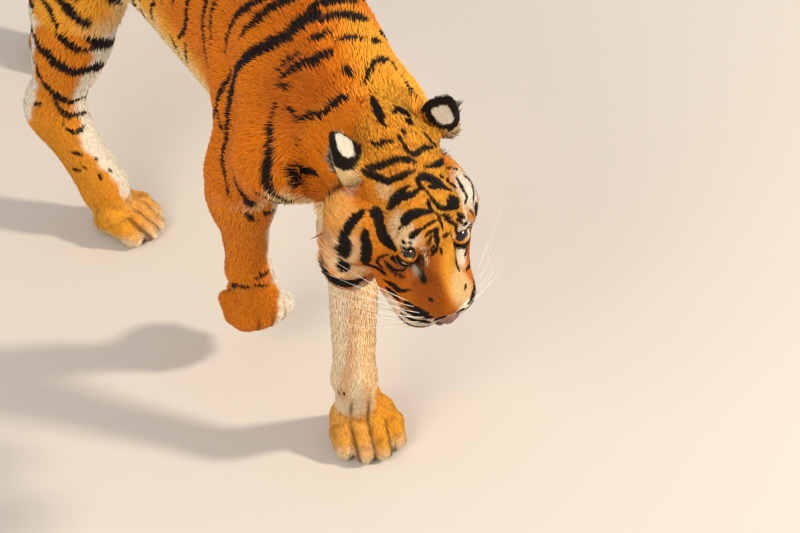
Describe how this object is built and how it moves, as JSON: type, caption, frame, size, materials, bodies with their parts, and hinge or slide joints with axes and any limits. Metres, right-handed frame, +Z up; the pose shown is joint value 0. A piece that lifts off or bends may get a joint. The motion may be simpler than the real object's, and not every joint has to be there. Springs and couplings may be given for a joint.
{
  "type": "tiger",
  "caption": "Life-size still model of a walking tiger: head lowered, one forepaw lifted, body bent to its right, long tail held low.",
  "frame": {"origin": "on the floor, under the middle of the model's box", "axes": "+Z up, the tiger walks towards -Y, +X is its left side"},
  "size_m": [0.4108, 1.8936, 0.8511],
  "materials": {
    "coat": "short matte fur, orange with black stripes",
    "white_coat": "soft matte fur, cream to white",
    "black_coat": "short matte fur, black with a white spot",
    "nose": "fine-grained damp skin",
    "eye": "polished"
  },
  "bodies": {
    "root": {"eye_right": "eye", "eye_left": "eye", "nose": "nose", "lower_jaw": "white_coat", "head": "coat", "ear_right": "black_coat", "ear_left": "black_coat", "fore_left_shoulder": "coat", "fore_right_shoulder": "coat", "hind_left_thigh": "coat", "hind_right_thigh": "coat", "neck": "coat", "chest": "coat", "belly": "coat", "rump": "coat", "fore_left_forearm": "coat", "fore_left_paw": "white_coat", "fore_right_forearm": "coat", "fore_right_paw": "white_coat", "hind_left_shank": "coat", "hind_left_foot": "coat", "hind_left_paw": "white_coat", "hind_right_shank": "coat", "hind_right_foot": "coat", "hind_right_paw": "white_coat", "tail_root": "coat", "tail_middle": "coat", "tail_end": "coat", "tail_tip": "coat"}
  },
  "joints": []
}
